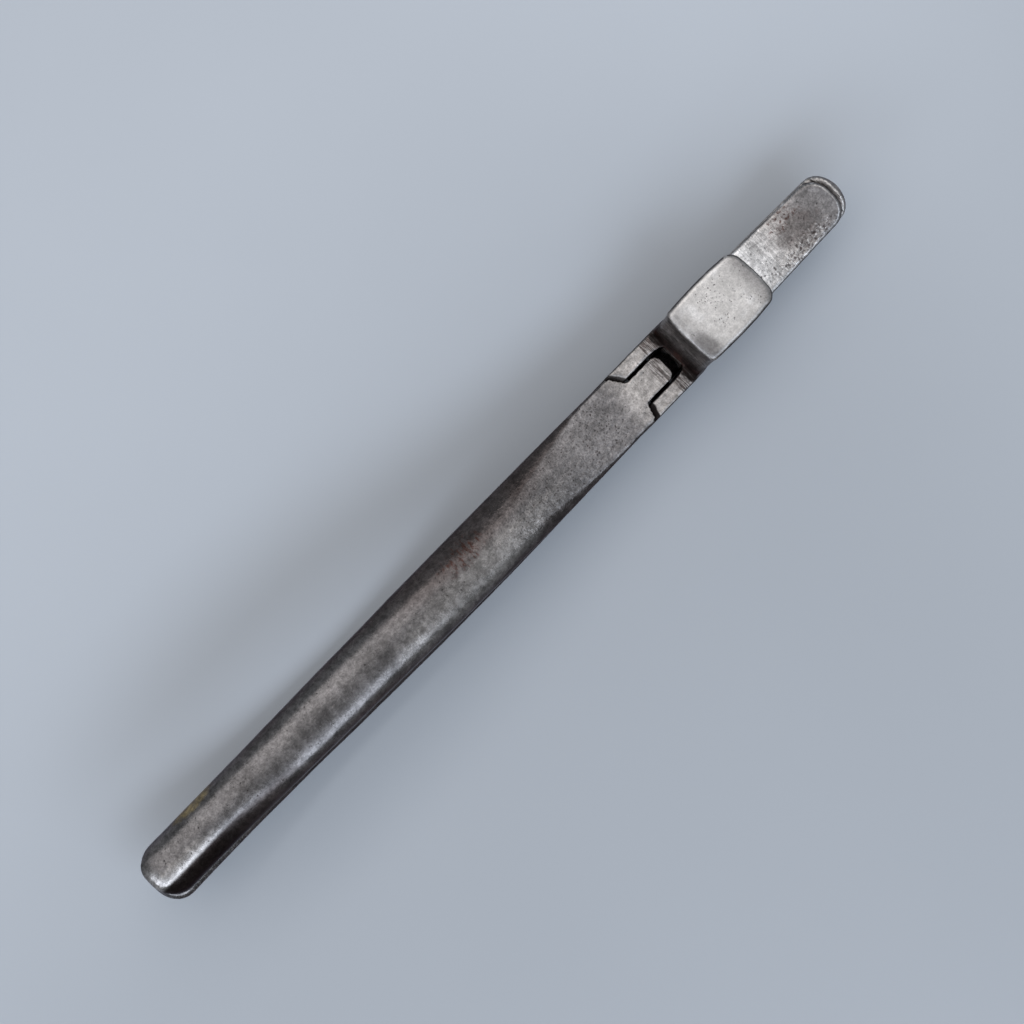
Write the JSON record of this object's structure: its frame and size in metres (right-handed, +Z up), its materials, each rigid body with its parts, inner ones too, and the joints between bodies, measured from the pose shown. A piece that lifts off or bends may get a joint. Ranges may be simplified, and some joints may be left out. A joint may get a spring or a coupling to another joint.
{
  "type": "shoemakers pincers",
  "caption": "Forged shoemaker's lasting pincers: bowed handles crossing in a box joint, an up-curved serrated beak and a hammer block on the upper jaw.",
  "frame": {"origin": "on the ground, under the middle of the closed tool's box, with the tool standing on its lower handle and lower jaw", "axes": "+X along the tool from the handle butts to the jaw tips, +Y along the rivet, +Z up towards the hammer face"},
  "size_m": [0.2192, 0.0158, 0.0455],
  "materials": {
    "hammer_arm_steel": "forged steel with a dark worn patina, bright where it is worked",
    "tongue_arm_steel": "forged steel with a dark hand-worn patina",
    "rivet_steel": "filed flush with the cheeks"
  },
  "bodies": {
    "hammer_half": {"hammer_arm": "hammer_arm_steel", "joint_rivet": "rivet_steel"},
    "tongue_half": {"tongue_arm": "tongue_arm_steel"}
  },
  "joints": [
    {"name": "box_joint", "type": "hinge", "parent": "hammer_half", "child": "tongue_half", "pos_m": [0.04939, 0.00019, 0.01191], "axis": [0, 1, 0], "range_deg": [0, 28]}
  ]
}
